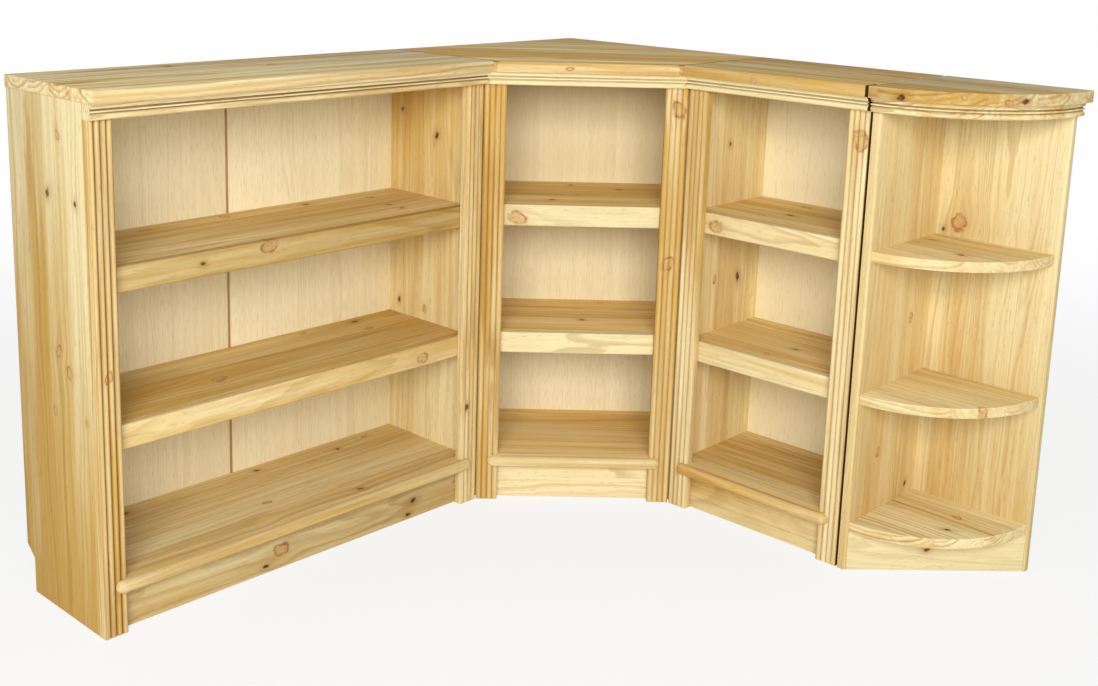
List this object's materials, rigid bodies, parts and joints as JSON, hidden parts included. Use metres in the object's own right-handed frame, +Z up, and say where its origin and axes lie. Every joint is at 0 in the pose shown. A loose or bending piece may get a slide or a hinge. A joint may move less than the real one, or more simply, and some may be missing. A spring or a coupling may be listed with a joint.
{
  "type": "corner shelf unit",
  "caption": "Low pine corner shelf unit: two bookcases meet at a diagonal corner unit with reeded pilasters and cornice, and a quarter-round open shelf ends one wing.",
  "frame": {"origin": "on the floor under the middle of the whole unit's box", "axes": "+Z up, the long wing runs along Y against the wall at low X, the short wing along X against the wall at high Y"},
  "size_m": [1.4056, 1.6136, 1.05],
  "materials": {
    "pine_boards": "waxed solid pine, glued staves, knots",
    "pale_backs": "pale wood-grain faced thin board, matt",
    "brown_strip": "brown joint strip, matt",
    "beech_dowels": "plain turned beech"
  },
  "bodies": {
    "root": {"corner_bead_rail": "pine_boards", "corner_bottom_board": "pine_boards", "corner_cornice": "pine_boards", "corner_flat_back_panel": "pale_backs", "corner_left_back_strip": "pale_backs", "corner_left_pilaster": "pine_boards", "corner_left_side": "pine_boards", "corner_lower_shelf": "pine_boards", "corner_lower_shelf_lip": "pine_boards", "corner_plinth": "pine_boards", "corner_right_back_strip": "pale_backs", "corner_right_pilaster": "pine_boards", "corner_right_side": "pine_boards", "corner_top_board": "pine_boards", "corner_top_dowels": "beech_dowels", "corner_upper_shelf": "pine_boards", "corner_upper_shelf_lip": "pine_boards", "end_back_panel": "pine_boards", "end_bottom_shelf": "pine_boards", "end_cornice_board": "pine_boards", "end_lower_shelf": "pine_boards", "end_plinth": "pine_boards", "end_side_panel": "pine_boards", "end_top_board": "pine_boards", "end_top_dowels": "beech_dowels", "end_upper_shelf": "pine_boards", "left_back_joint_strip": "brown_strip", "left_bead_rail": "pine_boards", "left_bottom_board": "pine_boards", "left_cornice": "pine_boards", "left_inner_back_panel": "pale_backs", "left_inner_pilaster": "pine_boards", "left_inner_side": "pine_boards", "left_lower_shelf": "pine_boards", "left_lower_shelf_lip": "pine_boards", "left_outer_back_panel": "pale_backs", "left_outer_pilaster": "pine_boards", "left_outer_side": "pine_boards", "left_plinth": "pine_boards", "left_top_board": "pine_boards", "left_top_dowels": "beech_dowels", "left_upper_shelf": "pine_boards", "left_upper_shelf_lip": "pine_boards", "right_back_panel": "pale_backs", "right_bead_rail": "pine_boards", "right_bottom_board": "pine_boards", "right_cornice": "pine_boards", "right_inner_pilaster": "pine_boards", "right_inner_side": "pine_boards", "right_lower_shelf": "pine_boards", "right_lower_shelf_lip": "pine_boards", "right_outer_pilaster": "pine_boards", "right_outer_side": "pine_boards", "right_plinth": "pine_boards", "right_top_board": "pine_boards", "right_top_dowels": "beech_dowels", "right_upper_shelf": "pine_boards", "right_upper_shelf_lip": "pine_boards"}
  },
  "joints": []
}
